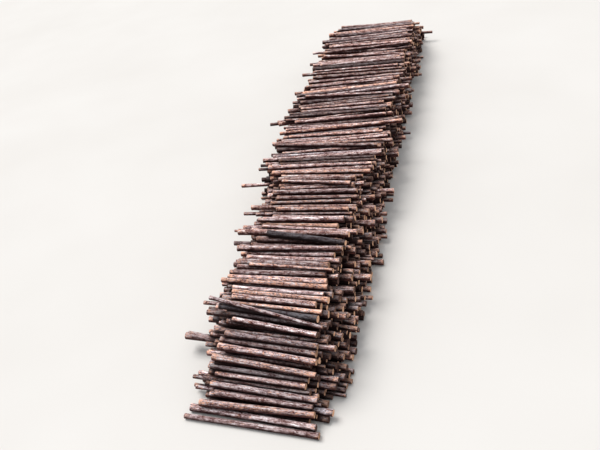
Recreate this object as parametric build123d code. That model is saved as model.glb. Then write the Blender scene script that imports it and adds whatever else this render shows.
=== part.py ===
from build123d import *

import math
import os

import numpy as np

# A long deck of sawn logs. Every log lies across the deck, along X, and the deck runs along Y
# from its near end at -Y. All lengths are millimetres and all angles degrees.

# Deck
deck_length = 75000.0
deck_height = 5000.0
near_slope_run = 6500.0
far_slope_run = 5500.0
toe_height = 650.0
swell_height = 160.0
swell_length = 19000.0

# Ends of the logs, at the foot of the deck. Both faces lean in by face_setback up to the top.
right_edge = 4650.0
left_edge = -7500.0
face_setback = 500.0
right_scatter = 400.0
left_scatter = 600.0

# The near part is narrower. Its upper tiers are shorter still, so that the ends of the lower
# ones stand out like steps: the setback starts at step_depth under the top, and is whole
# step_blend above that.
near_part_length = 24500.0
near_part_blend = 4500.0
near_left_step = 1300.0
near_right_setback = 1200.0
near_left_setback = 1100.0
step_depth = 3750.0
step_blend = 2500.0

# A few logs stand out further, from the least to the most of these
stray_share = 0.05
left_stray = (700.0, 2300.0)
right_stray = (400.0, 1200.0)

# Logs, each as thick as it is at mid length
mean_diameter = 440.0
diameter_spread = 80.0
smallest_diameter = 270.0
largest_diameter = 700.0
seat_clearance = 0.35
top_allowance = 150.0

# How far the logs turn from square across the deck: at shares of its length, the usual turn
turn_places = (0.0, 0.075, 0.14, 0.21, 0.30, 0.41, 0.60, 0.72, 1.0)
usual_turns = (-4.0, -8.0, -2.0, -2.5, 0.5, 3.0, 3.2, 0.5, -0.5)
turn_scatter = 1.2
skewed_share = 0.07
skewed_turn = 6.0

# Logs thrown across the top last: place along the deck from the near toe, place of the middle
# across the deck, turn, length and diameter
crossing_logs = [
    (6300.0, -1050.0, -13.5, 9200.0, 290.0),
    (11000.0, -300.0, -6.5, 7000.0, 280.0),
    (15200.0, 100.0, -11.0, 7000.0, 520.0),
    (23300.0, -750.0, -10.5, 6900.0, 380.0),
    (31200.0, -1650.0, -5.0, 11300.0, 360.0),
    (46500.0, -1700.0, -3.5, 11000.0, 340.0),
    (58500.0, -1300.0, 5.5, 11400.0, 360.0),
]

# Tiers, one file each
tier_count = 12

# Search for the place of a log
cell = 50.0
probe_columns = (-2000.0, 0.0, 2000.0)
crevice_width = 250.0
pick_scatter = 55.0
search_points = 13
seat_points = 121
window = 1500.0
depth_window = 1300.0
candidates = 17
first_span = 1.1
search_passes = 5
zoom_per_pass = 7.0
widest_pitch = 0.05
near_lean = 0.03
parallel_turn = 1e-6

chance = np.random.default_rng(31)


def ease(value):
    """Runs smoothly from 0 to 1 while value runs from 0 to 1."""
    bounded = np.clip(value, 0.0, 1.0)
    return bounded * bounded * (3.0 - 2.0 * bounded)


def top_height(along):
    """Height that the deck is filled to, at a distance along it from the near toe."""
    rise = np.minimum(along / near_slope_run, (deck_length - along) / far_slope_run)
    swell = swell_height * np.sin(2.0 * math.pi * along / swell_length)
    return toe_height + (deck_height - toe_height) * np.clip(rise, 0.0, 1.0) + swell * ease(rise)


def draw_turn(along):
    """Turn from square across that a log has at a distance along the deck."""
    turn = np.interp(along / deck_length, turn_places, usual_turns) + chance.normal(0.0, turn_scatter)
    if chance.random() < skewed_share:
        turn += chance.uniform(-skewed_turn, skewed_turn)
    return float(turn)


def log_ends(along, height):
    """X of the left and right end of a log at a place and height in the deck."""
    level = min(height / deck_height, 1.0)
    near_part = 1.0 - ease((along - near_part_length) / near_part_blend)
    upper = ease((step_depth - (top_height(along) - height)) / step_blend)
    right = right_edge - face_setback * level - near_right_setback * near_part * upper
    left = left_edge + face_setback * level + near_part * (near_left_step + near_left_setback * upper)
    right += chance.normal(0.0, right_scatter)
    left += chance.normal(0.0, left_scatter)
    if chance.random() < stray_share:
        left -= chance.uniform(*left_stray)
    if chance.random() < stray_share:
        right += chance.uniform(*right_stray)
    return left, right


class Log:
    """A straight log: its axis runs from x = left to x = right with a turn and a pitch."""

    def __init__(self, left, right, diameter, turn):
        self.x = (left + right) / 2.0
        self.half = (right - left) / 2.0
        self.radius = diameter / 2.0
        self.turn = math.tan(math.radians(turn))
        self.y = 0.0
        self.z = 0.0
        self.pitch = 0.0

    def place(self, y, z, pitch):
        """Fixes where the middle of the axis is and how far the log pitches."""
        self.y = y
        self.z = z
        self.pitch = pitch

    def row(self):
        """The log's numbers as one row of the deck's table."""
        return [self.x, self.y, self.z, self.turn, self.pitch, self.half, self.radius]

    def corners(self):
        """Lowest and highest corner of the box around the log."""
        axis = np.array([1.0, self.turn, self.pitch])
        direction = axis / np.linalg.norm(axis)
        reach = np.abs(axis) * self.half + self.radius * np.sqrt(1.0 - direction**2)
        middle = np.array([self.x, self.y, self.z])
        return middle - reach, middle + reach

    def solid(self, shift):
        """The log as a round bar with square sawn ends, moved by shift."""
        axis = Vector(1.0, self.turn, self.pitch)
        start = Vector(self.x, self.y, self.z) + Vector(*shift) - axis * self.half
        return Solid.make_cylinder(self.radius, axis.length * self.half * 2.0, Plane(start, z_dir=axis))


class Deck:
    """The logs laid so far, with the height of their top surface on a grid."""

    def __init__(self):
        self.logs = []
        self.table = np.zeros((0, 7))
        self.grid = np.arange(0.0, deck_length + cell, cell)
        self.surface = np.zeros((len(probe_columns), len(self.grid)))
        self.closed = np.zeros(len(self.grid), dtype=bool)
        self.preference = chance.normal(0.0, pick_scatter, len(self.grid))

    def lowest_place(self):
        """Grid cell of the lowest free pocket, or None when the deck is full."""
        height = self.surface.max(axis=0)
        reach = int(crevice_width / cell / 2.0)
        height = spread(spread(height, reach, np.maximum), reach, np.minimum)
        room = top_height(self.grid) - height
        open_cells = (room > mean_diameter) & ~self.closed
        if not open_cells.any():
            return None
        rough = np.where(height > cell, height + self.preference, height)
        return int(np.argmin(np.where(open_cells, rough, np.inf)))

    def settle(self, log, along):
        """Lets a log down from above near a place until it rests in the nearest pocket."""
        x0, y0, z0, turn, pitch, half, radius = self.neighbours(log, along).T[:, :, None]
        touch = radius + log.radius + seat_clearance
        mean_turn = (turn + log.turn) / 2.0

        def crossing_range(tries_y, mean_pitch):
            """Stretch of x where the two logs face each other, square to their mean direction."""
            low = np.maximum(x0 - half, log.x - log.half)
            high = np.minimum(x0 + half, log.x + log.half)
            ends = []
            for x, choose, side in ((low, np.maximum, -1.0), (high, np.minimum, 1.0)):
                gap = tries_y + log.turn * (x - log.x) - y0 - turn * (x - x0)
                rise = np.sqrt(np.maximum(touch**2 - gap**2, 0.0))
                slip = (gap * mean_turn + rise * mean_pitch) / 2.0
                ends.append(choose(x0 + side * half - slip, log.x + side * log.half + slip))
            return ends

        def rest(y_tries, pitch_tries, points=search_points):
            """Lowest middle height for each pair of a place and a pitch.

            Where the two axes pass, the offset between them is the two radii and the
            clearance, measured square to the mean direction of the axes. That is a quadratic
            for the height of one axis over the other, which is solved at several points and
            at the point where the axes cross in plan.
            """
            y_tries, pitch_tries = np.broadcast_arrays(y_tries, pitch_tries)
            floor = log.radius + np.abs(pitch_tries) * log.half
            if not x0.size:
                return floor
            tries_y = y_tries[:, None, None]
            tries_pitch = pitch_tries[:, None, None]
            mean_pitch = (pitch + tries_pitch) / 2.0
            start, stop = crossing_range(tries_y, mean_pitch)
            plan_gap = tries_y + log.turn * (x0 - log.x) - y0
            plan_turn = np.where(np.abs(turn - log.turn) < parallel_turn, parallel_turn, turn - log.turn)
            cross = np.clip(x0 + plan_gap / plan_turn, start, np.maximum(start, stop))
            steps = np.linspace(0.0, 1.0, points)
            x = np.concatenate([start + (stop - start) * steps, cross], axis=2)
            gap = tries_y + log.turn * (x - log.x) - y0 - turn * (x - x0)
            share = 1.0 / (1.0 + mean_turn**2 + mean_pitch**2)
            a = 1.0 - share * mean_pitch**2
            b = -2.0 * share * mean_turn * mean_pitch * gap
            c = gap**2 * (1.0 - share * mean_turn**2) - touch**2
            inside = b**2 - 4.0 * a * c
            rise = (np.sqrt(np.maximum(inside, 0.0)) - b) / (2.0 * a)
            held = z0 + pitch * (x - x0) + rise - tries_pitch * (x - log.x)
            held = np.where((inside > 0.0) & (stop > start), held, -np.inf)
            return np.maximum(floor, held.max(axis=(1, 2)))

        y = along
        best_pitch = 0.0
        span = log.radius * first_span
        pitch_span = widest_pitch
        for _ in range(search_passes):
            tries = y + np.linspace(-span, span, candidates)
            y = tries[np.argmin(rest(tries, best_pitch) + near_lean * (tries - along))]
            slopes = best_pitch + np.linspace(-pitch_span, pitch_span, candidates)
            best_pitch = slopes[np.argmin(rest(y, slopes))]
            span /= zoom_per_pass
            pitch_span /= zoom_per_pass
        height = rest(np.array([y]), best_pitch, seat_points)[0]
        log.place(y, float(height), best_pitch)

    def neighbours(self, log, along):
        """Rows of the laid logs that a new log may touch."""
        level = self.surface[:, np.abs(self.grid - along) < log.radius].max()
        near = np.abs(self.table[:, 1] - along) < window
        beside = np.abs(self.table[:, 0] - log.x) < self.table[:, 5] + log.half
        high = self.table[:, 2] > level - depth_window
        return self.table[near & beside & high]

    def lay(self, log):
        """Adds a placed log and raises the surface under it."""
        self.logs.append(log)
        self.table = np.concatenate([self.table, [log.row()]])
        for column, x in enumerate(probe_columns):
            if abs(x - log.x) <= log.half:
                y = log.y + log.turn * (x - log.x)
                z = log.z + log.pitch * (x - log.x)
                gap = np.abs(self.grid - y)
                top = z + np.sqrt(np.maximum(log.radius**2 - gap**2, 0.0))
                raised = np.maximum(self.surface[column], top)
                self.surface[column] = np.where(gap < log.radius, raised, self.surface[column])


def spread(values, reach, choose):
    """Takes the highest or lowest neighbour within reach cells of each cell."""
    result = values.copy()
    for step in range(1, reach + 1):
        result[step:] = choose(result[step:], values[:-step])
        result[:-step] = choose(result[:-step], values[step:])
    return result


def draw_diameter():
    """A diameter from the spread of sizes in the deck."""
    drawn = chance.normal(mean_diameter, diameter_spread)
    return float(np.clip(drawn, smallest_diameter, largest_diameter))


def fill_deck():
    """Lays logs in the lowest pocket, one after the other, until the deck has its height."""
    deck = Deck()
    while (index := deck.lowest_place()) is not None:
        along = deck.grid[index]
        left, right = log_ends(along, deck.surface[:, index].max())
        log = Log(left, right, draw_diameter(), draw_turn(along))
        deck.settle(log, along)
        if log.z + log.radius > top_height(along) + top_allowance:
            deck.closed[index] = True
            continue
        deck.lay(log)
        deck.closed[index] = abs(log.y - along) > log.radius
    for along, across, turn, length, diameter in crossing_logs:
        log = Log(across - length / 2.0, across + length / 2.0, diameter, turn)
        deck.settle(log, along)
        deck.lay(log)
    return deck


def main():
    """Lays the deck, centres it over the origin and writes each tier to its own file."""
    deck = fill_deck()
    corners = np.array([log.corners() for log in deck.logs])
    low = corners[:, 0].min(axis=0)
    high = corners[:, 1].max(axis=0)
    shift = (-(low[0] + high[0]) / 2.0, -(low[1] + high[1]) / 2.0, 0.0)
    tiers = {number: [] for number in range(1, tier_count + 1)}
    for log in deck.logs:
        tiers[min(int(log.z * tier_count / deck_height) + 1, tier_count)].append(log)
    os.makedirs("parts", exist_ok=True)
    for number, logs in tiers.items():
        solids = [log.solid(shift) for log in logs]
        export_step(Compound(children=solids), f"parts/tier_{number:02d}_logs.step")
        print(f"tier {number}: {len(solids)} logs")
    print(f"{len(deck.logs)} logs, box {np.round(high - low)}, lowest point {low[2]:.3f}")
    print(f"moved by {np.round(shift)}")


main()
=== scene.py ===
"""Dresses a long deck of sawn logs, laid side by side in tiers, over its fixed frame.

Every log of the frame is a plain straight cylinder. Its centre, direction, length and radius are
read from the frame, and a log with taper, sweep, bark and sawn ends is worked out over it.
All sizes are in metres.
"""

from __future__ import annotations

import logging
import math
from dataclasses import dataclass, field
from enum import Enum

import bpy
import numpy as np
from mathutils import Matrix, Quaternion, Vector


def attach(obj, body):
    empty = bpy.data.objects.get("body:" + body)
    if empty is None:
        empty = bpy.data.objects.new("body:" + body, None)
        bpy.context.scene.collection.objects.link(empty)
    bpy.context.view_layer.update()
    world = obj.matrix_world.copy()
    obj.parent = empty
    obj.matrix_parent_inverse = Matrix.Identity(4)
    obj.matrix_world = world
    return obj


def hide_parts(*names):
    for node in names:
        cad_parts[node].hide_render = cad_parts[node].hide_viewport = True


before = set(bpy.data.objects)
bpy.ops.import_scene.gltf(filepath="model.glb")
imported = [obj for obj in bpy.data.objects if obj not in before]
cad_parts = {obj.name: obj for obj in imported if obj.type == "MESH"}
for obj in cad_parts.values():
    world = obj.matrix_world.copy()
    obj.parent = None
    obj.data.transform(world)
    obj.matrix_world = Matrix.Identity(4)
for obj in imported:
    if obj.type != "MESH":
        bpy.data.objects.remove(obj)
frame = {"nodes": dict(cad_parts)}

# A colour is red, green, blue and alpha, a step is the pair of values between which something
# comes in, and a grain is how many spots of a pattern a metre holds in each direction.
Colour = tuple[float, float, float, float]
Triple = tuple[float, float, float]
Step = tuple[float, float]
Grain = tuple[float, float, float]

report = logging.getLogger("log_deck")
UP = np.array([0.0, 0.0, 1.0])

# Corners of the frame are the same where they agree to this many digits
MERGE_DIGITS = 5


def linear(red: float, green: float, blue: float) -> Colour:
    """Turns a colour as seen, from 0 to 255, into the linear colour that a shader takes.

    Args:
        red: Red from 0 to 255.
        green: Green from 0 to 255.
        blue: Blue from 0 to 255.

    Returns:
        Linear red, green and blue with an alpha of one.
    """
    seen = np.array([red, green, blue]) / 255.0
    dark = seen / 12.92
    bright = ((seen + 0.055) / 1.055) ** 2.4
    made = np.where(seen <= 0.04045, dark, bright)
    return (float(made[0]), float(made[1]), float(made[2]), 1.0)


@dataclass(frozen=True)
class BarkLook:
    """How bark of one kind looks, and the share of logs that have it."""

    share: float
    brightness: float
    grey: float
    tan: float
    wet: float


class Wear(Enum):
    """The kinds of bark in the deck."""

    RED_BROWN = BarkLook(share=0.44, brightness=1.02, grey=0.04, tan=0.14, wet=0.05)
    DUSTY_PINK = BarkLook(share=0.30, brightness=1.32, grey=0.16, tan=0.12, wet=0.00)
    SCUFFED_TAN = BarkLook(share=0.06, brightness=1.08, grey=0.04, tan=0.40, wet=0.00)
    SILVER_GREY = BarkLook(share=0.06, brightness=1.16, grey=0.58, tan=0.05, wet=0.00)
    DARK_WET = BarkLook(share=0.12, brightness=0.66, grey=0.16, tan=0.08, wet=0.26)
    BLUE_BLACK = BarkLook(share=0.015, brightness=0.42, grey=0.60, tan=0.00, wet=0.42)


class Side(Enum):
    """The finishes of a log, numbered as its mesh numbers them."""

    BARK = 0
    SAWN_END = 1


@dataclass(frozen=True)
class Number:
    """A number that a node of a shader gives. Arithmetic with it adds further nodes."""

    shader: Shader
    socket: bpy.types.NodeSocket

    def __add__(self, other: Number | float) -> Number:
        """Adds another number."""
        return self.shader.math("ADD", self, other)

    def __sub__(self, other: Number | float) -> Number:
        """Takes another number away."""
        return self.shader.math("SUBTRACT", self, other)

    def __rsub__(self, other: float) -> Number:
        """Takes this number away from a plain one."""
        return self.shader.math("SUBTRACT", other, self)

    def __mul__(self, other: Number | float) -> Number:
        """Multiplies by another number."""
        return self.shader.math("MULTIPLY", self, other)

    def __truediv__(self, other: Number | float) -> Number:
        """Divides by another number."""
        return self.shader.math("DIVIDE", self, other)


class Shader:
    """A small hand for building node materials."""

    # Where the Mix node keeps its sockets for colours
    MIX_SHARE = 0
    MIX_FIRST = 6
    MIX_SECOND = 7
    MIX_RESULT = 2
    NOISE_ROUGHNESS = 0.6
    DRIFT_GRAIN = 9.0
    SPECULAR = 0.18

    def __init__(self, name: str) -> None:
        """Starts an empty material.

        Args:
            name: Name of the material.
        """
        self.material = bpy.data.materials.new(name)
        self.material.use_nodes = True
        self.tree = self.material.node_tree
        self.tree.nodes.clear()
        self.output = self.tree.nodes.new("ShaderNodeOutputMaterial")
        self.known: dict[str, tuple[Number, Number, Number]] = {}

    def node(self, kind: str, values: dict | None = None, **settings: object) -> bpy.types.Node:
        """Adds a node.

        Args:
            kind: Blender's name of the node type, without its prefix.
            values: Values or links for its inputs, by name or number.
            **settings: Settings of the node itself.

        Returns:
            The new node.
        """
        made = self.tree.nodes.new("ShaderNode" + kind)
        for name, value in settings.items():
            setattr(made, name, value)
        for key, value in (values or {}).items():
            self.feed(made.inputs[key], value)
        return made

    def feed(self, socket: bpy.types.NodeSocket, value: object) -> None:
        """Links a socket, or sets its value.

        Args:
            socket: The input.
            value: A number or output of another node, or a plain value.
        """
        source = value.socket if isinstance(value, Number) else value
        if isinstance(source, bpy.types.NodeSocket):
            self.tree.links.new(source, socket)
        else:
            socket.default_value = source

    def math(self, operation: str, first: object, second: object = 0.0) -> Number:
        """Works one number out of two.

        Args:
            operation: Blender's name of the operation.
            first: First number.
            second: Second number.

        Returns:
            The result.
        """
        return Number(self, self.node("Math", {0: first, 1: second}, operation=operation).outputs[0])

    def ramp(self, value: Number, low: object, high: object) -> Number:
        """Turns a value into a smooth step from zero at low to one at high.

        Args:
            value: The value.
            low: Where the step starts.
            high: Where the step ends, above or below low.

        Returns:
            The step.
        """
        inputs = {0: value, 1: low, 2: high, 3: 0.0, 4: 1.0}
        made = self.node("MapRange", inputs, interpolation_type="SMOOTHSTEP")
        return Number(self, made.outputs[0])

    def mix(self, share: object, first: object, second: object, blend: str = "MIX") -> bpy.types.NodeSocket:
        """Mixes two colours.

        Args:
            share: Share of the second colour.
            first: First colour.
            second: Second colour.
            blend: How they are mixed.

        Returns:
            The mixed colour.
        """
        made = self.node("Mix", data_type="RGBA", blend_type=blend)
        self.feed(made.inputs[self.MIX_SHARE], share)
        self.feed(made.inputs[self.MIX_FIRST], first)
        self.feed(made.inputs[self.MIX_SECOND], second)
        return made.outputs[self.MIX_RESULT]

    def times(self, colour: object, other: object) -> bpy.types.NodeSocket:
        """Multiplies a colour by another colour, or by a number.

        Args:
            colour: The colour.
            other: The other colour, or a number.

        Returns:
            The product.
        """
        if isinstance(other, Number):
            other = self.node("CombineColor", {0: other, 1: other, 2: other}).outputs[0]
        return self.mix(1.0, colour, other, "MULTIPLY")

    def vector(self, first: object, second: object, third: object = 0.0) -> bpy.types.NodeSocket:
        """Joins three numbers into a vector."""
        return self.node("CombineXYZ", {0: first, 1: second, 2: third}).outputs[0]

    def work(self, operation: str, *vectors: object) -> bpy.types.Node:
        """Adds a node that works with vectors.

        Args:
            operation: Blender's name of the operation.
            *vectors: The vectors.

        Returns:
            The node.
        """
        return self.node("VectorMath", dict(enumerate(vectors)), operation=operation)

    def noise(self, place: object, grain: Grain, detail: float) -> Number:
        """Adds a noise with a grain of its own in each direction.

        Args:
            place: The place.
            grain: The noise's grain.
            detail: How many finer layers it has.

        Returns:
            The noise.
        """
        scaled = self.node("Mapping", {"Vector": place, "Scale": grain}).outputs[0]
        inputs = {"Vector": scaled, "Scale": 1.0, "Detail": detail, "Roughness": self.NOISE_ROUGHNESS}
        return Number(self, self.node("TexNoise", inputs).outputs[0])

    def cracks(self, place: object, grain: Grain, wander: float) -> Number:
        """Adds the distance to the nearest crack between plates, on wandering lines.

        Args:
            place: The place.
            grain: How many plates a metre holds each way.
            wander: How far the cracks wander, in metres.

        Returns:
            The distance, in plates.
        """
        inputs = {"Vector": place, "Scale": self.DRIFT_GRAIN, "Detail": 3.0}
        drift = self.node("TexNoise", inputs).outputs["Color"]
        drift = self.work("SUBTRACT", drift, (0.5, 0.5, 0.5)).outputs[0]
        moved = self.work("MULTIPLY_ADD", drift, (wander, wander, wander), place).outputs[0]
        scaled = self.node("Mapping", {"Vector": moved, "Scale": grain}).outputs[0]
        inputs = {"Vector": scaled, "Scale": 1.0}
        made = self.node("TexVoronoi", inputs, feature="DISTANCE_TO_EDGE")
        return Number(self, made.outputs[0])

    def attribute(self, name: str) -> bpy.types.NodeSocket:
        """Reads a vector that the mesh holds at each point."""
        return self.node("Attribute", attribute_name=name, attribute_type="GEOMETRY").outputs["Vector"]

    def numbers(self, name: str) -> tuple[Number, Number, Number]:
        """Reads a vector that the mesh holds at each point as three numbers.

        Args:
            name: The attribute's name.

        Returns:
            The three numbers.
        """
        if name not in self.known:
            made = self.node("SeparateXYZ", {0: self.attribute(name)})
            self.known[name] = tuple(Number(self, socket) for socket in made.outputs)
        return self.known[name]

    def surface(self, colour: object, roughness: object, bump: object = None, depth: float = 0.01) -> None:
        """Adds the surface shader.

        Args:
            colour: Base colour.
            roughness: Roughness.
            bump: Height, or nothing.
            depth: How deep a height of one is.
        """
        shader = self.node("BsdfPrincipled", {"Base Color": colour, "Roughness": roughness})
        shader.inputs["Specular IOR Level"].default_value = self.SPECULAR
        if bump is not None:
            relief = self.node("Bump", {"Height": bump, "Strength": 1.0, "Distance": depth})
            self.feed(shader.inputs["Normal"], relief.outputs[0])
        self.feed(self.output.inputs["Surface"], shader.outputs[0])


@dataclass(frozen=True)
class BarkFinish:
    """Rough bark: furrows that run along the log, flakes, bare patches and damp logs, with a painted
    highlight on the crown and painted shade on the undersides, in the crevices and where covered.
    """

    furrow: Colour = linear(70, 27, 23)
    plate: Colour = linear(176, 137, 130)
    crest: Colour = linear(250, 244, 240)
    scuff: Colour = linear(226, 168, 138)
    silver: Colour = linear(178, 172, 176)
    damp: Colour = linear(36, 30, 46)
    # Painted shade in the gaps between logs and where a log is covered near the end faces
    painted_crevice_shade: Colour = linear(26, 4, 4)

    # Painted shade below a log and a cool painted highlight on top of it: what the colours are multiplied
    # by there
    underside: Colour = (0.150, 0.078, 0.078, 1.0)
    top: Colour = (1.28, 1.35, 1.39, 1.0)

    # Relief: long streaks, flakes and broad patches, and cracks where the bark is broken
    streak_grain: Grain = (0.8, 12.0, 12.0)
    flake_grain: Grain = (8.0, 24.0, 24.0)
    patch_grain: Grain = (1.7, 4.5, 4.5)
    fine_grain: Grain = (22.0, 70.0, 70.0)
    streak_share: float = 0.50
    flake_share: float = 0.30
    patch_share: float = 0.20
    fine_share: float = 0.16
    crack_grain: Grain = (3.0, 12.0, 12.0)
    crack_wander: float = 0.16
    crack_step: Step = (0.22, 0.0)
    crack_depth: float = 0.13
    broken_grain: Grain = (2.2, 3.0, 3.0)
    broken_step: Step = (0.38, 0.62)
    relief_depth: float = 0.10

    # Colour by relief, and bare wood where the bark was scuffed off, most of all near the ends
    plate_step: Step = (0.36, 0.54)
    crest_step: Step = (0.48, 0.64)
    bare_grain: Grain = (4.6, 12.0, 12.0)
    bare_step: Step = (0.61, 0.71)
    bare_cover: float = 0.80
    bare_for_tan: float = 0.30
    bare_at_end: float = 0.10
    end_step: Step = (0.8, 0.05)

    # Painted light and shade: the crown gets a painted highlight, more so where the log is open to
    # the sky, and the sides, the crevices and what is covered near the end faces get painted shade
    crown_patches: float = 1.1
    crown_step: Step = (0.36, 0.90)
    crown_spread: float = 0.26
    gap_step: Step = (0.06, 0.28)
    gap_patches: float = 0.05
    face_step: Step = (3.2, 1.4)
    face_dark: float = 0.8

    # Roughness, less where the bark is wet
    dry_roughness: float = 0.82
    wet_gloss: float = 0.3

    def make(self) -> bpy.types.Material:
        """Builds the material.

        Returns:
            The bark material.
        """
        shader = Shader("bark")
        place = shader.attribute("bark_place")
        wet, _, _ = shader.numbers("log_wear_and_crown")
        patch = shader.noise(place, self.patch_grain, detail=3.0)
        height = self.height(shader, place, patch)
        colour = shader.mix(wet, self.dry_colour(shader, place, height), self.damp)
        colour = self.shaded(shader, colour, patch)
        fine = shader.noise(place, self.fine_grain, detail=3.0)
        roughness = self.dry_roughness - wet * self.wet_gloss
        shader.surface(colour, roughness, height + fine * self.fine_share, self.relief_depth)
        return shader.material

    def height(self, shader: Shader, place: object, patch: Number) -> Number:
        """Adds the height of the bark.

        Streaks, flakes and patches add up, and cracks are taken away where the bark is broken.

        Args:
            shader: The material's shader.
            place: The place on the bark.
            patch: The noise of the broad patches.

        Returns:
            The height, about a half on average.
        """
        streak = shader.noise(place, self.streak_grain, detail=5.0)
        flake = shader.noise(place, self.flake_grain, detail=3.0)
        height = streak * self.streak_share + flake * self.flake_share + patch * self.patch_share
        broken = shader.ramp(shader.noise(place, self.broken_grain, detail=3.0), *self.broken_step)
        crack = shader.ramp(shader.cracks(place, self.crack_grain, self.crack_wander), *self.crack_step)
        return height - crack * broken * self.crack_depth

    def dry_colour(self, shader: Shader, place: object, height: Number) -> bpy.types.NodeSocket:
        """Adds the colour of dry bark: furrow, plate and crest, silver with age, and bare wood.

        Args:
            shader: The material's shader.
            place: The place on the bark.
            height: The bark's height.

        Returns:
            The colour.
        """
        _, grey, tan = shader.numbers("log_tone_and_cover_shade")
        from_end, _, _ = shader.numbers("reach")
        rise = shader.ramp(height, *self.plate_step)
        colour = shader.mix(rise, self.furrow, self.plate)
        colour = shader.mix(shader.ramp(height, *self.crest_step), colour, self.crest)
        colour = shader.mix(grey, colour, shader.mix(rise, self.furrow, self.silver))
        at_end = shader.ramp(from_end, *self.end_step) * self.bare_at_end
        bare = shader.noise(place, self.bare_grain, detail=4.0) + tan * self.bare_for_tan + at_end
        return shader.mix(shader.ramp(bare, *self.bare_step) * self.bare_cover, colour, self.scuff)

    def shaded(self, shader: Shader, colour: object, patch: Number) -> bpy.types.NodeSocket:
        """Adds the log's own tone, a painted highlight on its crown, and painted shade on its sides, in the
        crevices and where it is covered.

        Args:
            shader: The material's shader.
            colour: The bark's colour.
            patch: The noise of the broad patches.

        Returns:
            The shaded colour.
        """
        tone, _, _ = shader.numbers("log_tone_and_cover_shade")
        # The crown, kept with the wear, sets the painted highlight and shade around the log
        _, crown, _ = shader.numbers("log_wear_and_crown")
        from_end, gap, lit = shader.numbers("reach")
        # The tone holds the log's own brightness, lowered as painted shade where it is covered
        colour = shader.times(colour, tone)
        # Painted highlight on the crown and painted shade on the sides and below, with ragged edges
        painted_crown_light = crown + (patch - 0.5) * self.crown_patches
        dark_up_to, pale_from = self.crown_step
        rise = shader.ramp(painted_crown_light, dark_up_to - lit * self.crown_spread, pale_from)
        colour = shader.times(colour, shader.mix(rise, self.underside, self.top))
        # Painted shade: the crevice colour where another log or the ground is near, and where the log is
        # covered near the end faces
        clear = shader.ramp(gap + patch * self.gap_patches, *self.gap_step)
        covered = (1.0 - lit) * shader.ramp(from_end, *self.face_step)
        clear = clear * (1.0 - covered * self.face_dark)
        return shader.mix(clear, self.painted_crevice_shade, colour)


@dataclass(frozen=True)
class SawnFinish:
    """A sawn log end: growth rings, drying checks, a rim of bark, from fresh orange to old brown."""

    fresh: Colour = linear(252, 204, 168)
    ring: Colour = linear(212, 146, 108)
    old: Colour = linear(92, 64, 56)
    rim: Colour = linear(38, 22, 21)
    ring_width: float = 0.012
    ring_share: float = 0.5
    wobble: float = 0.03
    wobble_grain: Grain = (6.0, 6.0, 6.0)
    heart_step: Step = (0.62, 0.40)
    heart_share: float = 0.35

    # Drying checks: dark rays from the heart, longer in an older end
    check_rays: Triple = (4.5, 4.5, 4.5)
    ray_grain: Grain = (1.0, 1.0, 1.0)
    check_turn: float = 40.0
    check_step: Step = (0.615, 0.645)
    check_least: float = 0.1
    check_share: float = 0.8
    check_depth: float = 2.0

    # Age: from fresh to old and to nearly black, in stains
    stain_grain: Grain = (5.0, 5.0, 1.0)
    old_step: Step = (0.25, 0.80)
    black_step: Step = (0.85, 1.25)
    rim_step: Step = (0.90, 0.95)
    roughness: float = 0.8
    relief_depth: float = 0.004

    def make(self) -> bpy.types.Material:
        """Builds the material.

        Returns:
            The sawn end material.
        """
        shader = Shader("sawn_end")
        across, upward, radius = shader.numbers("end_plane")
        _, _, age = shader.numbers("log_wear_and_crown")
        flat = shader.vector(across, upward, age)
        out = Number(shader, shader.work("LENGTH", shader.vector(across, upward)).outputs["Value"])
        turns = (out + shader.noise(flat, self.wobble_grain, detail=2.0) * self.wobble) / self.ring_width
        rings = (shader.math("SINE", turns * math.tau) + 1.0) * 0.5
        colour = shader.mix(rings * self.ring_share, self.fresh, self.ring)
        heart = shader.ramp(out / radius, *self.heart_step)
        colour = shader.mix(heart * self.heart_share, colour, self.ring)
        checks = self.checks(shader, out)
        colour = shader.mix(checks * self.check_share, colour, self.rim)
        stain = shader.noise(flat, self.stain_grain, detail=3.0)
        aged = age + (stain - 0.5)
        colour = shader.mix(shader.ramp(aged, *self.old_step), colour, self.old)
        colour = shader.mix(shader.ramp(aged, *self.black_step), colour, self.rim)
        colour = shader.mix(shader.ramp(out / radius, *self.rim_step), colour, self.rim)
        shader.surface(colour, self.roughness, rings + stain - checks * self.check_depth, self.relief_depth)
        return shader.material

    def checks(self, shader: Shader, out: Number) -> Number:
        """Adds the drying checks.

        A noise of the direction from the heart alone gives rays, and they fade with the distance
        from the heart.

        Args:
            shader: The material's shader.
            out: The distance from the heart.

        Returns:
            One in a check and zero beside it.
        """
        across, upward, radius = shader.numbers("end_plane")
        _, _, age = shader.numbers("log_wear_and_crown")
        ray = shader.work("NORMALIZE", shader.vector(across, upward)).outputs[0]
        own = shader.vector(age, radius, age * self.check_turn)
        place = shader.work("MULTIPLY_ADD", ray, self.check_rays, own).outputs[0]
        line = shader.ramp(shader.noise(place, self.ray_grain, detail=1.0), *self.check_step)
        return line * shader.ramp(out / radius, age + self.check_least, 0.0)


@dataclass(frozen=True)
class GroundFinish:
    """Plain pale ground with hardly any pattern."""

    pale: Colour = linear(226, 223, 219)
    shade: Colour = linear(216, 212, 207)
    cloud_grain: Grain = (0.05, 0.05, 0.05)
    roughness: float = 0.95

    def make(self) -> bpy.types.Material:
        """Builds the material.

        Returns:
            The ground material.
        """
        shader = Shader("plain_ground")
        place = shader.node("TexCoord").outputs["Object"]
        cloud = shader.noise(place, self.cloud_grain, detail=2.0)
        shader.surface(shader.mix(cloud, self.pale, self.shade), self.roughness)
        return shader.material


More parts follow.
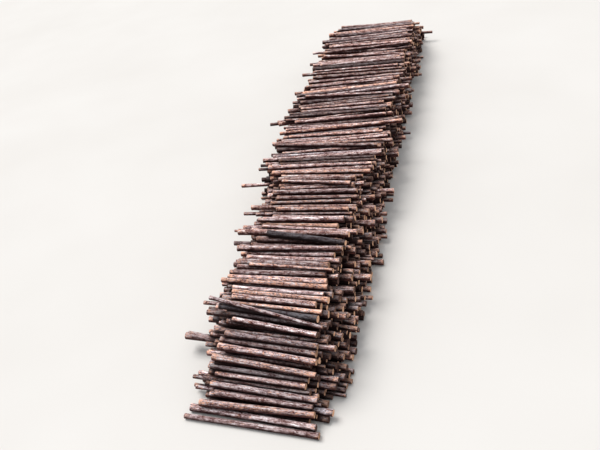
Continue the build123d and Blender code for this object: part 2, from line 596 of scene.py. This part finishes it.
@dataclass
class Logs:
    """The straight cylinders of the frame, one row for each log."""

    centre: np.ndarray = field(default_factory=lambda: np.zeros((0, 3)))
    axis: np.ndarray = field(default_factory=lambda: np.zeros((0, 3)))
    half: np.ndarray = field(default_factory=lambda: np.zeros(0))
    radius: np.ndarray = field(default_factory=lambda: np.zeros(0))
    node: np.ndarray = field(default_factory=lambda: np.zeros(0, int))
    names: list[str] = field(default_factory=list)

    # How near a log's middle is to be a neighbour, the widest gap, and the gap on the ground
    neighbour_reach: float = 1.9
    widest_gap: float = 0.5
    ground_gap: float = 0.02

    # Where a log is asked if it is open to the sky: at shares of its half length, and this share
    # of its radius aside. Another log covers what lies within this share of its width, unless its
    # axis is lower by more than this share of the asked log's radius.
    open_steps: np.ndarray = field(default_factory=lambda: np.linspace(-0.98, 0.98, 25))
    line_aside: float = 0.6
    cover_width: float = 0.9
    cover_rise: float = 0.2

    def read(self, nodes: dict[str, bpy.types.Object]) -> None:
        """Reads every node's cylinders.

        Args:
            nodes: The frame's objects by name.
        """
        self.names = sorted(nodes)
        found = [self.cylinders(nodes[name].data) for name in self.names]
        self.centre = np.concatenate([part[0] for part in found])
        self.axis = np.concatenate([part[1] for part in found])
        self.half = np.concatenate([part[2] for part in found])
        self.radius = np.concatenate([part[3] for part in found])
        self.node = np.concatenate([np.full(len(part[2]), n) for n, part in enumerate(found)])

    @staticmethod
    def cylinders(mesh: bpy.types.Mesh) -> tuple[np.ndarray, np.ndarray, np.ndarray, np.ndarray]:
        """Finds the cylinders of one mesh.

        Triangles that share a corner belong to one cylinder. Its axis is the direction in which its
        corners spread most, its half length is their furthest reach along the axis, and its radius
        is their furthest reach from it.

        Args:
            mesh: Mesh of loose triangles.

        Returns:
            Centres, axes, half lengths and radii.
        """
        corners = np.empty(len(mesh.vertices) * 3)
        mesh.vertices.foreach_get("co", corners)
        corners = corners.reshape(-1, 3)
        points, same = np.unique(np.round(corners, MERGE_DIGITS), axis=0, return_inverse=True)
        used = np.empty(len(mesh.loops), int)
        mesh.loops.foreach_get("vertex_index", used)
        triangles = same.reshape(-1)[used].reshape(-1, 3)
        label = np.arange(len(points))
        settled = False
        while not settled:
            lowest = label[triangles].min(axis=1)
            renewed = label.copy()
            for corner in range(3):
                np.minimum.at(renewed, triangles[:, corner], lowest)
            renewed = renewed[renewed]
            settled = bool((renewed == label).all())
            label = renewed
        kinds, member = np.unique(label, return_inverse=True)
        member = member.reshape(-1)
        count = np.bincount(member).astype(float)
        centre = np.stack([np.bincount(member, points[:, k]) / count for k in range(3)], axis=1)
        apart = points - centre[member]
        spread = np.zeros((len(kinds), 3, 3))
        np.add.at(spread, member, apart[:, :, None] * apart[:, None, :])
        axis = np.linalg.eigh(spread)[1][:, :, 2]
        axis = axis * np.where(axis[:, 0] < 0, -1.0, 1.0)[:, None]
        along = (apart * axis[member]).sum(axis=1)
        low = np.zeros(len(kinds))
        high = np.zeros(len(kinds))
        np.minimum.at(low, member, along)
        np.maximum.at(high, member, along)
        away = np.linalg.norm(apart - along[:, None] * axis[member], axis=1)
        radius = np.zeros(len(kinds))
        np.maximum.at(radius, member, away)
        centre = centre + axis * ((low + high) / 2)[:, None]
        return centre, axis, (high - low) / 2, radius

    def gap(self, number: int, points: np.ndarray) -> np.ndarray:
        """Works out how far points on one log are from the nearest other log or the ground.

        The distance to a log is the distance to its axis, between its ends, less its radius.

        Args:
            number: The log that the points are on.
            points: The points.

        Returns:
            The distance of each point, at most the widest gap.
        """
        apart = self.centre - self.centre[number]
        beside = np.hypot(apart[:, 1], apart[:, 2]) < self.neighbour_reach
        beside[number] = False
        axis = self.axis[beside]
        half = self.half[beside]
        away = points[:, None] - self.centre[beside][None]
        run = np.clip((away * axis[None]).sum(axis=2), -half, half)
        distance = np.linalg.norm(away - run[..., None] * axis[None], axis=2) - self.radius[beside]
        nearest = distance.min(axis=1) if beside.any() else np.full(len(points), self.widest_gap)
        return np.clip(np.minimum(nearest, points[:, 2] + self.ground_gap), 0.0, self.widest_gap)

    def exposure(self) -> np.ndarray:
        """Works out where each log is open to the sky.

        Three lines of points run along each log, on its axis and to both sides of it. A point is
        covered where another log's plan holds it and that log isn't lower.

        Returns:
            The open share of each log at each of the steps along it, from zero to one.
        """
        aside = np.array([-self.line_aside, 0.0, self.line_aside])
        sideways = np.cross(UP, self.axis)
        sideways /= np.linalg.norm(sideways, axis=1)[:, None]
        reach = self.half[:, None, None] * self.open_steps[None, :, None]
        shift = self.radius[:, None, None] * aside[None, None, :]
        points = self.centre[:, None, None, :] + reach[..., None] * self.axis[:, None, None, :]
        points = (points + shift[..., None] * sideways[:, None, None, :]).reshape(len(self.half), -1, 3)
        level_run = np.hypot(self.axis[:, 0], self.axis[:, 1])
        slope = self.axis[:, 2] / level_run
        plan = self.axis[:, :2] / level_run[:, None]
        plan_half = self.half * level_run
        open_line = np.zeros((len(self.half), len(self.open_steps)))
        for number in range(len(self.half)):
            apart = points[number][:, None, :2] - self.centre[None, :, :2]
            along = (apart * plan[None]).sum(axis=2)
            across = np.abs(apart[..., 0] * plan[None, :, 1] - apart[..., 1] * plan[None, :, 0])
            level = self.centre[None, :, 2] + along * slope[None]
            inside = (np.abs(along) < plan_half[None]) & (across < self.radius[None] * self.cover_width)
            over = inside & (level > points[number][:, None, 2] - self.radius[number] * self.cover_rise)
            over[:, number] = False
            covered = over.any(axis=1).reshape(len(self.open_steps), len(aside))
            open_line[number] = 1.0 - covered.mean(axis=1)
        return open_line


@dataclass
class Growth:
    """The numbers that make each log's shape its own, one row for each log."""

    butt: np.ndarray
    sweep: np.ndarray
    sag: np.ndarray
    out_of_round: np.ndarray
    swelling: np.ndarray
    phase: np.ndarray
    slant: np.ndarray
    bark_shift: np.ndarray


@dataclass
class Looks:
    """The finish numbers of the logs, one row for each log.

    The tone is brightness, greyness and tan. The open line says where the log is open to the sky,
    and the last number is one where enough of it is open for the whole log to be painted as
    brightly lit as an open one.
    """

    tone: np.ndarray
    wet: np.ndarray
    age: np.ndarray
    open_line: np.ndarray
    open_share: np.ndarray
    painted_sky_light: np.ndarray


@dataclass
class LogShape:
    """How a grown log departs from a straight cylinder."""

    taper: float = 0.0055
    sweep: float = 0.028
    sag: float = 0.010
    out_of_round: float = 0.030
    swelling: float = 0.022
    least_share: float = 0.2
    butt_flare: float = 0.022
    flare_length: float = 0.6
    saw_slant: float = 0.07
    bark_gap: float = 0.006

    # Two waves around the log: how many, how fast they turn along it, and how strong they are
    round_waves: tuple[Triple, ...] = ((2.0, 0.35, 1.0), (3.0, -0.5, 0.6))

    # Waves along the log, in radians a metre
    swell_waves: Triple = (1.1, 2.3, 4.1)

    # How much closer the points along a log are at its ends, and how far inward a slanted cut
    # moves them, as a power of the share of the half length
    end_pull: float = 0.80
    slant_fade: int = 8

    # The bark pattern of a log is moved by this much at most. The last phases are spare.
    bark_range: float = 60.0
    phase_count: int = 8

    def draw(self, count: int, chance: np.random.Generator) -> Growth:
        """Draws the numbers that make each log its own.

        Args:
            count: How many logs.
            chance: The seeded source of numbers.

        Returns:
            The numbers.
        """
        return Growth(
            butt=np.where(chance.random(count) < 0.5, -1.0, 1.0),
            sweep=chance.normal(0.0, self.sweep / 2, count),
            sag=chance.normal(0.0, self.sag / 2, count),
            out_of_round=chance.uniform(self.least_share, 1.0, (count, 2)) * self.out_of_round,
            swelling=chance.uniform(self.least_share, 1.0, (count, 3)) * self.swelling,
            phase=chance.uniform(0.0, math.tau, (count, self.phase_count)),
            slant=chance.normal(0.0, self.saw_slant / 2, (count, 2)),
            bark_shift=chance.uniform(-self.bark_range, self.bark_range, (count, 3)),
        )

    def surface(self, logs: Logs, pick: np.ndarray, growth: Growth, rings: int, sides: int) -> np.ndarray:
        """Works out the skins of some logs as one grid each.

        A point's place is its log's centre, plus its run along the axis, plus the sweep and sag,
        which bow the middle one way and the ends the other, plus the radius outwards. The run is
        slanted by the saw cut towards the ends, and nothing reaches below the floor.

        Args:
            logs: The straight logs.
            pick: Which of them.
            growth: The numbers drawn for all logs.
            rings: Points along a log.
            sides: Points around a log.

        Returns:
            Points by log, ring, side and direction.
        """
        across = np.cross(UP, logs.axis[pick])
        across /= np.linalg.norm(across, axis=1)[:, None]
        upward = np.cross(logs.axis[pick], across)
        step = np.linspace(-1.0, 1.0, rings)
        share = (1.0 - self.end_pull) * step + self.end_pull * np.sin(step * math.pi / 2)
        share = share[None, :, None]
        angle = (np.arange(sides) * math.tau / sides)[None, None, :]
        run = logs.half[pick][:, None, None] * share
        size = self.radius(logs, pick, growth, run, angle)
        bow = 0.5 - share**2
        sideways = size * np.cos(angle) + growth.sweep[pick][:, None, None] * bow
        upwards = size * np.sin(angle) + growth.sag[pick][:, None, None] * bow
        slant = growth.slant[pick]
        tilt = slant[:, 0, None, None] * np.cos(angle) + slant[:, 1, None, None] * np.sin(angle)
        run = run + logs.radius[pick][:, None, None] * tilt * share**self.slant_fade
        place = logs.centre[pick][:, None, None, :] + run[..., None] * logs.axis[pick][:, None, None, :]
        place = place + sideways[..., None] * across[:, None, None, :]
        place = place + upwards[..., None] * upward[:, None, None, :]
        place[..., 2] = np.maximum(place[..., 2], 0.0)
        return place

    def radius(self, logs: Logs, pick: np.ndarray, growth: Growth, run: np.ndarray,
               angle: np.ndarray) -> np.ndarray:
        """Works out how thick some logs are.

        The radius is the cylinder's, less a small gap, plus half the taper times the run towards
        the butt, plus a flare that fades from the butt, plus two waves around the log that turn
        slowly along it, and three waves along it.

        Args:
            logs: The straight logs.
            pick: Which of them.
            growth: The numbers drawn for all logs.
            run: The way along the log from its middle.
            angle: The way around it.

        Returns:
            The radius by log, ring and side.
        """
        plain = logs.radius[pick][:, None, None]
        phase = growth.phase[pick]
        to_butt = run * growth.butt[pick][:, None, None]
        size = plain - self.bark_gap + self.taper * to_butt * 0.5
        from_butt = logs.half[pick][:, None, None] - to_butt
        size = size + self.butt_flare * np.exp(-from_butt / self.flare_length)
        for number, (waves, turn, strength) in enumerate(self.round_waves):
            around = np.cos(angle * waves + phase[:, number, None, None] + run * turn)
            size = size + plain * growth.out_of_round[pick][:, number, None, None] * around * strength
        first = len(self.round_waves)
        for number, waves in enumerate(self.swell_waves):
            wave = np.cos(run * waves + phase[:, first + number, None, None] + np.cos(angle + number))
            size = size + plain * growth.swelling[pick][:, number, None, None] * wave
        return size


@dataclass
class Skin:
    """The points, faces and notes of some logs, gathered for one mesh."""

    points: list[np.ndarray] = field(default_factory=list)
    corners: list[np.ndarray] = field(default_factory=list)
    totals: list[np.ndarray] = field(default_factory=list)
    finish: list[np.ndarray] = field(default_factory=list)
    notes: dict[str, list[np.ndarray]] = field(default_factory=dict)
    count: int = 0

    def add(self, place: np.ndarray, notes: dict[str, np.ndarray], rings: int, sides: int) -> None:
        """Adds some logs that have as many points each.

        Args:
            place: Points by log, the middles of both ends last.
            notes: Vectors by name, by log and point.
            rings: Points along a log.
            sides: Points around a log.
        """
        first = self.count + np.arange(len(place)) * place.shape[1]
        for side, faces in zip(Side, self.faces(rings, sides)):
            placed = first[:, None, None] + faces[None]
            total = len(place) * len(faces)
            self.corners.append(placed.reshape(-1))
            self.totals.append(np.full(total, faces.shape[1]))
            self.finish.append(np.full(total, side.value))
        self.points.append(place.reshape(-1))
        for name, values in notes.items():
            self.notes.setdefault(name, []).append(values.reshape(-1))
        self.count += place.shape[0] * place.shape[1]

    @staticmethod
    def faces(rings: int, sides: int) -> tuple[np.ndarray, np.ndarray]:
        """Works out the faces of one log: four-sided along the skin, fans over its ends.

        Args:
            rings: Points along a log.
            sides: Points around a log.

        Returns:
            The corners of the skin's faces and of the fans.
        """
        ring, side = np.meshgrid(np.arange(rings - 1), np.arange(sides), indexing="ij")
        following = (side + 1) % sides
        quads = np.stack([ring * sides + side, ring * sides + following,
                          (ring + 1) * sides + following, (ring + 1) * sides + side], axis=2).reshape(-1, 4)
        turn = np.arange(sides)
        next_turn = (turn + 1) % sides
        last = (rings - 1) * sides
        near = np.stack([np.full(sides, rings * sides), next_turn, turn], axis=1)
        far = np.stack([np.full(sides, rings * sides + 1), last + turn, last + next_turn], axis=1)
        return quads, np.concatenate([near, far])

    def mesh(self, name: str) -> bpy.types.Mesh:
        """Puts what was gathered into a mesh.

        Args:
            name: The mesh's name.

        Returns:
            The mesh.
        """
        made = bpy.data.meshes.new(name)
        made.vertices.add(self.count)
        made.vertices.foreach_set("co", np.concatenate(self.points))
        corners = np.concatenate(self.corners)
        made.loops.add(len(corners))
        made.loops.foreach_set("vertex_index", corners.astype(np.int32))
        total = np.concatenate(self.totals)
        made.polygons.add(len(total))
        made.polygons.foreach_set("loop_start", (np.cumsum(total) - total).astype(np.int32))
        finish = np.concatenate(self.finish)
        made.polygons.foreach_set("material_index", finish.astype(np.int32))
        made.polygons.foreach_set("use_smooth", finish == Side.BARK.value)
        for note, values in self.notes.items():
            attribute = made.attributes.new(note, "FLOAT_VECTOR", "POINT")
            attribute.data.foreach_set("vector", np.concatenate(values))
        made.update(calc_edges=True)
        made.validate()
        return made


@dataclass
class Tier:
    """One tier of the deck: its logs as one mesh, finer where they are open to the sky."""

    node: str
    number: int
    open_rings: int = 24
    open_sides: int = 20
    hidden_rings: int = 7
    hidden_sides: int = 14
    open_least: float = 0.22
    # Painted shade: a covered log's brightness falls to this share where no sky reaches it
    covered_shade_level: float = 0.30

    def build(self, deck: Deck, finishes: dict[Side, bpy.types.Material]) -> None:
        """Builds the tier's mesh and stands it for its node.

        Args:
            deck: The deck that the tier belongs to.
            finishes: Material for each side.
        """
        mine = np.flatnonzero(deck.logs.node == self.number)
        is_open = deck.looks.open_share[mine] > self.open_least
        skin = Skin()
        groups = (
            (mine[is_open], self.open_rings, self.open_sides),
            (mine[~is_open], self.hidden_rings, self.hidden_sides),
        )
        for pick, rings, sides in groups:
            if len(pick) > 0:
                grid = deck.shape.surface(deck.logs, pick, deck.growth, rings, sides)
                ends = np.stack([grid[:, 0].mean(axis=1), grid[:, -1].mean(axis=1)], axis=1)
                place = np.concatenate([grid.reshape(len(pick), -1, 3), ends], axis=1)
                skin.add(place, self.notes(deck, pick, place, rings, sides), rings, sides)
        made = skin.mesh("logs")
        piece = bpy.data.objects.new(self.node + "_dressed", made)
        bpy.context.scene.collection.objects.link(piece)
        for side in Side:
            made.materials.append(finishes[side])
        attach(piece, "root")
        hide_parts(self.node)
        faces = len(made.polygons)
        report.info("%s: %d logs, %d open, %d faces", piece.name, len(mine), int(is_open.sum()), faces)

    def notes(self, deck: Deck, pick: np.ndarray, place: np.ndarray, rings: int,
              sides: int) -> dict[str, np.ndarray]:
        """Works out what the finishes read at each point.

        The bark's place is the run along the log and the offset from its axis, so the pattern has
        no seam, moved by a number of the log's own. The crown is one on top and minus one below.
        The painted light is one where the log is open to the sky, and falls to zero where it is
        covered. Where it is low, the tone is darkened as painted shade.

        Args:
            deck: The deck that the tier belongs to.
            pick: Which logs.
            place: Points by log.
            rings: Points along a log.
            sides: Points around a log.

        Returns:
            Vectors by name, by log and point.
        """
        logs = deck.logs
        looks = deck.looks
        angle = np.append(np.tile(np.arange(sides) * math.tau / sides, rings), [0.0, 0.0])
        out = np.append(np.ones(rings * sides), [0.0, 0.0])
        run = ((place - logs.centre[pick][:, None]) * logs.axis[pick][:, None]).sum(axis=2)
        half = logs.half[pick][:, None]
        radius = logs.radius[pick][:, None]
        across = radius * (np.cos(angle) * out)[None]
        upward = radius * (np.sin(angle) * out)[None]
        crown = np.broadcast_to((np.sin(angle) * out)[None], run.shape)
        rows = zip(run / half, looks.open_line[pick])
        local = np.stack([np.interp(share, logs.open_steps, line) for share, line in rows])
        lit = np.maximum(local, looks.painted_sky_light[pick][:, None])
        tone = np.repeat(looks.tone[pick][:, None], run.shape[1], axis=1)
        # Painted shade: the brightness is lowered where the log is covered from the sky
        tone[..., 0] *= self.covered_shade_level + (1.0 - self.covered_shade_level) * lit
        wet = np.broadcast_to(looks.wet[pick][:, None], run.shape)
        age = np.broadcast_to(looks.age[pick][:, None], run.shape)
        gap = np.stack([logs.gap(number, spots) for number, spots in zip(pick, place)])
        return {
            "bark_place": np.stack([run, across, upward], axis=2) + deck.growth.bark_shift[pick][:, None],
            "log_tone_and_cover_shade": tone,
            "log_wear_and_crown": np.stack([wet, crown, age], axis=2),
            "end_plane": np.stack([across, upward, np.broadcast_to(radius, run.shape)], axis=2),
            "reach": np.stack([half - np.abs(run), gap, lit], axis=2),
        }


@dataclass
class Deck:
    """The whole deck: reads the logs, gives each its looks and builds every tier."""

    seed: int = 41

    # Single logs that have a bark of their own: across the deck, along it and the kind
    singled_out: tuple[tuple[float, float, Wear], ...] = (
        (2.37, -21.97, Wear.BLUE_BLACK),
        (1.22, -30.87, Wear.DUSTY_PINK),
    )

    # How far each number of a log's bark is scattered, and the limits of its brightness
    tone_scatter: float = 0.24
    grey_scatter: float = 0.06
    tan_scatter: float = 0.10
    wet_scatter: float = 0.05
    darkest: float = 0.2
    brightest: float = 1.6

    # A log gets the full painted sky light once this many times its open share is one
    full_light: float = 2.5

    # Between two places along it, the deck gets greyer and a little brighter towards its near end
    near_grey: float = 0.26
    near_lift: float = 0.09
    near_from: float = -22.0
    near_to: float = -31.0

    # Age of the sawn ends: a share from zero to one, to a power, times the oldest
    age_power: float = 0.8
    oldest: float = 1.15

    logs: Logs = field(default_factory=Logs)
    shape: LogShape = field(default_factory=LogShape)
    growth: Growth = field(init=False)
    looks: Looks = field(init=False)

    @staticmethod
    def scattered(shares: np.ndarray, scatter: float, chance: np.random.Generator) -> np.ndarray:
        """Moves shares by chance, and keeps them from zero to one."""
        return np.clip(shares + chance.normal(0.0, scatter, len(shares)), 0.0, 1.0)

    def draw_looks(self, chance: np.random.Generator) -> Looks:
        """Gives each log its kind of bark, its tone, its share of painted sky light and the age of its sawn
        ends.

        Args:
            chance: The seeded source of numbers.

        Returns:
            The looks of the logs.
        """
        count = len(self.logs.half)
        kinds = list(Wear)
        shares = np.array([kind.value.share for kind in kinds])
        drawn = chance.choice(len(kinds), count, p=shares / shares.sum())
        for across, along, kind in self.singled_out:
            apart = np.hypot(self.logs.centre[:, 0] - across, self.logs.centre[:, 1] - along)
            drawn[np.argmin(apart - self.logs.centre[:, 2])] = kinds.index(kind)
        looks = [kinds[number].value for number in drawn]
        open_line = self.logs.exposure()
        open_share = open_line.mean(axis=1)
        bright = np.array([look.brightness for look in looks])
        bright = bright * (1.0 + chance.normal(0.0, self.tone_scatter, count))
        nearness = (self.near_from - self.logs.centre[:, 1]) / (self.near_from - self.near_to)
        nearness = np.clip(nearness, 0.0, 1.0)
        bright = bright * (1.0 + self.near_lift * nearness)
        grey = np.array([look.grey for look in looks]) + self.near_grey * nearness
        grey = self.scattered(grey, self.grey_scatter, chance)
        tan = self.scattered(np.array([look.tan for look in looks]), self.tan_scatter, chance)
        wet = self.scattered(np.array([look.wet for look in looks]), self.wet_scatter, chance)
        return Looks(
            tone=np.stack([np.clip(bright, self.darkest, self.brightest), grey, tan], axis=1),
            wet=wet,
            age=chance.uniform(0.0, 1.0, count) ** self.age_power * self.oldest,
            open_line=open_line,
            open_share=open_share,
            painted_sky_light=np.clip(open_share * self.full_light, 0.0, 1.0),
        )

    def build(self, nodes: dict[str, bpy.types.Object], finishes: dict[Side, bpy.types.Material]) -> None:
        """Builds every tier.

        Args:
            nodes: The frame's objects by name.
            finishes: Material for each side.
        """
        chance = np.random.default_rng(self.seed)
        self.logs.read(nodes)
        report.info("logs read: %d", len(self.logs.half))
        self.growth = self.shape.draw(len(self.logs.half), chance)
        self.looks = self.draw_looks(chance)
        report.info("open to the sky: %d", int((self.looks.open_share > Tier.open_least).sum()))
        for number, name in enumerate(self.logs.names):
            Tier(name, number).build(self, finishes)


@dataclass
class Studio:
    """Plain pale floor, soft light and the camera."""

    floor_reach: float = 700.0
    floor_drop: float = 0.004
    lamp_strength: float = 2.55
    lamp_spread: float = 35.0
    lamp_way: Triple = (0.55, -0.35, -1.0)
    lamp_colour: Triple = (1.0, 0.985, 0.965)
    sky_strength: float = 0.66
    sky_colour: Colour = (0.93, 0.96, 1.0, 1.0)
    backdrop_colour: Colour = (0.93, 0.92, 0.905, 1.0)
    eye: Triple = (17.07, -62.77, 35.2)
    aim: Triple = (-0.39, -15.46, 1.5)
    roll: float = -12.2
    lens: float = 38.1
    sensor_width: float = 36.0
    view_reach: float = 3000.0

    def floor(self) -> None:
        """Lays the floor just under the deck."""
        reach = self.floor_reach
        level = -self.floor_drop
        around = ((-reach, -reach), (reach, -reach), (reach, reach), (-reach, reach))
        made = bpy.data.meshes.new("floor")
        made.from_pydata([(across, along, level) for across, along in around], [], [(0, 1, 2, 3)])
        made.materials.append(GroundFinish().make())
        floor = bpy.data.objects.new("floor", made)
        bpy.context.scene.collection.objects.link(floor)

    def lamp(self) -> None:
        """Hangs one wide soft lamp."""
        lamp = bpy.data.lights.new("sky_lamp", "SUN")
        lamp.energy = self.lamp_strength
        lamp.angle = math.radians(self.lamp_spread)
        lamp.color = self.lamp_colour
        holder = bpy.data.objects.new("sky_lamp", lamp)
        holder.rotation_euler = Vector(self.lamp_way).to_track_quat("-Z", "Y").to_euler()
        bpy.context.scene.collection.objects.link(holder)

    def sky(self) -> None:
        """Fills in light from an even sky, in place of which a viewer sees a pale backdrop."""
        world = bpy.data.worlds.new("even_sky")
        world.use_nodes = True
        nodes = world.node_tree.nodes
        links = world.node_tree.links
        sky = nodes["Background"]
        sky.inputs["Color"].default_value = self.sky_colour
        sky.inputs["Strength"].default_value = self.sky_strength
        backdrop = nodes.new("ShaderNodeBackground")
        backdrop.inputs["Color"].default_value = self.backdrop_colour
        path = nodes.new("ShaderNodeLightPath").outputs
        seen = path["Is Transmission Ray"]
        for ray in ("Is Glossy Ray", "Is Camera Ray"):
            larger = nodes.new("ShaderNodeMath")
            larger.operation = "MAXIMUM"
            links.new(path[ray], larger.inputs[0])
            links.new(seen, larger.inputs[1])
            seen = larger.outputs[0]
        mix = nodes.new("ShaderNodeMixShader")
        links.new(seen, mix.inputs[0])
        links.new(sky.outputs[0], mix.inputs[1])
        links.new(backdrop.outputs[0], mix.inputs[2])
        links.new(mix.outputs[0], nodes["World Output"].inputs["Surface"])
        bpy.context.scene.world = world

    def camera(self) -> None:
        """Sets the camera at the photograph's place, aimed at the deck."""
        data = bpy.data.cameras.new("camera")
        data.sensor_width = self.sensor_width
        data.lens = self.lens
        data.clip_end = self.view_reach
        camera = bpy.data.objects.new("camera", data)
        camera.location = self.eye
        toward = Vector(self.aim) - Vector(self.eye)
        turn = toward.to_track_quat("-Z", "Y") @ Quaternion((0.0, 0.0, 1.0), math.radians(self.roll))
        camera.rotation_euler = turn.to_euler()
        bpy.context.scene.collection.objects.link(camera)
        bpy.context.scene.camera = camera

    def build(self) -> None:
        """Builds floor, light and camera."""
        self.floor()
        self.lamp()
        self.sky()
        self.camera()
        bpy.context.scene.view_settings.view_transform = "Standard"


def main() -> None:
    """Builds the deck and the studio."""
    logging.basicConfig(level=logging.INFO, format="%(name)s %(message)s")
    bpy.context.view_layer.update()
    Studio().build()
    finishes = {Side.BARK: BarkFinish().make(), Side.SAWN_END: SawnFinish().make()}
    Deck().build(frame["nodes"], finishes)


if __name__ == "__main__":
    main()
